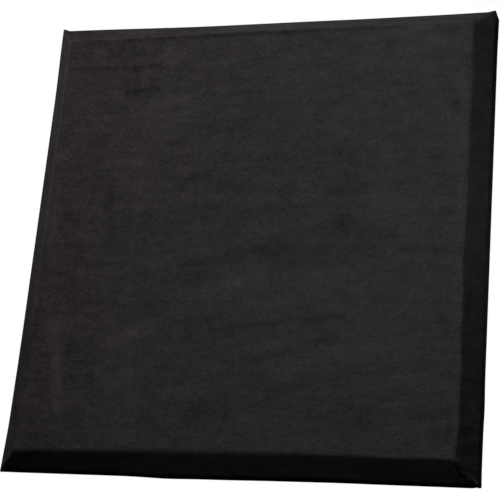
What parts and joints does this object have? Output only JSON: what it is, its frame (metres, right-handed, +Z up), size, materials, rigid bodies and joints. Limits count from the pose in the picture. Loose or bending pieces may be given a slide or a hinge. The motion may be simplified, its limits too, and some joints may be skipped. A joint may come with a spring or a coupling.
{
  "type": "acoustic absorption panel",
  "caption": "Square fabric-wrapped sound-absorbing panel with a bevelled front edge, hung on a wall by interlocking aluminium Z clips so that it lifts off.",
  "frame": {"origin": "the point of the wall behind the panel's centre, in the plane of the wall clips' flat backs", "axes": "+Z up, +Y into the wall, so the panel's front faces -Y, and +X to the right of someone who faces the panel"},
  "size_m": [0.6096, 0.0551, 0.6096],
  "materials": {
    "microsuede": "matte black brushed microsuede",
    "glass_fibre": "matte rigid glass-fibre board, edges hardened with resin",
    "glass_tissue": "matte black glass tissue",
    "plywood": "satin birch plywood, unfinished",
    "clip_aluminium": "satin mill-finish extrusion",
    "screw_zinc": "satin zinc plating"
  },
  "bodies": {
    "wall_clips": {"wall_clip_upper_left": "clip_aluminium", "wall_clip_upper_right": "clip_aluminium", "wall_clip_lower_left": "clip_aluminium", "wall_clip_lower_right": "clip_aluminium"},
    "panel": {"fabric_cover": "microsuede", "core_board": "glass_fibre", "back_scrim": "glass_tissue", "mounting_block_upper_left": "plywood", "mounting_block_upper_right": "plywood", "mounting_block_lower_left": "plywood", "mounting_block_lower_right": "plywood", "panel_clip_upper_left": "clip_aluminium", "panel_clip_upper_right": "clip_aluminium", "panel_clip_lower_left": "clip_aluminium", "panel_clip_lower_right": "clip_aluminium", "clip_screw_upper_left_a": "screw_zinc", "clip_screw_upper_left_b": "screw_zinc", "clip_screw_upper_right_a": "screw_zinc", "clip_screw_upper_right_b": "screw_zinc", "clip_screw_lower_left_a": "screw_zinc", "clip_screw_lower_left_b": "screw_zinc", "clip_screw_lower_right_a": "screw_zinc", "clip_screw_lower_right_b": "screw_zinc"}
  },
  "joints": [
    {"name": "lift_off", "type": "slide", "parent": "wall_clips", "child": "panel", "axis": [0, 0, 1], "range_m": [0, 0.016]}
  ]
}
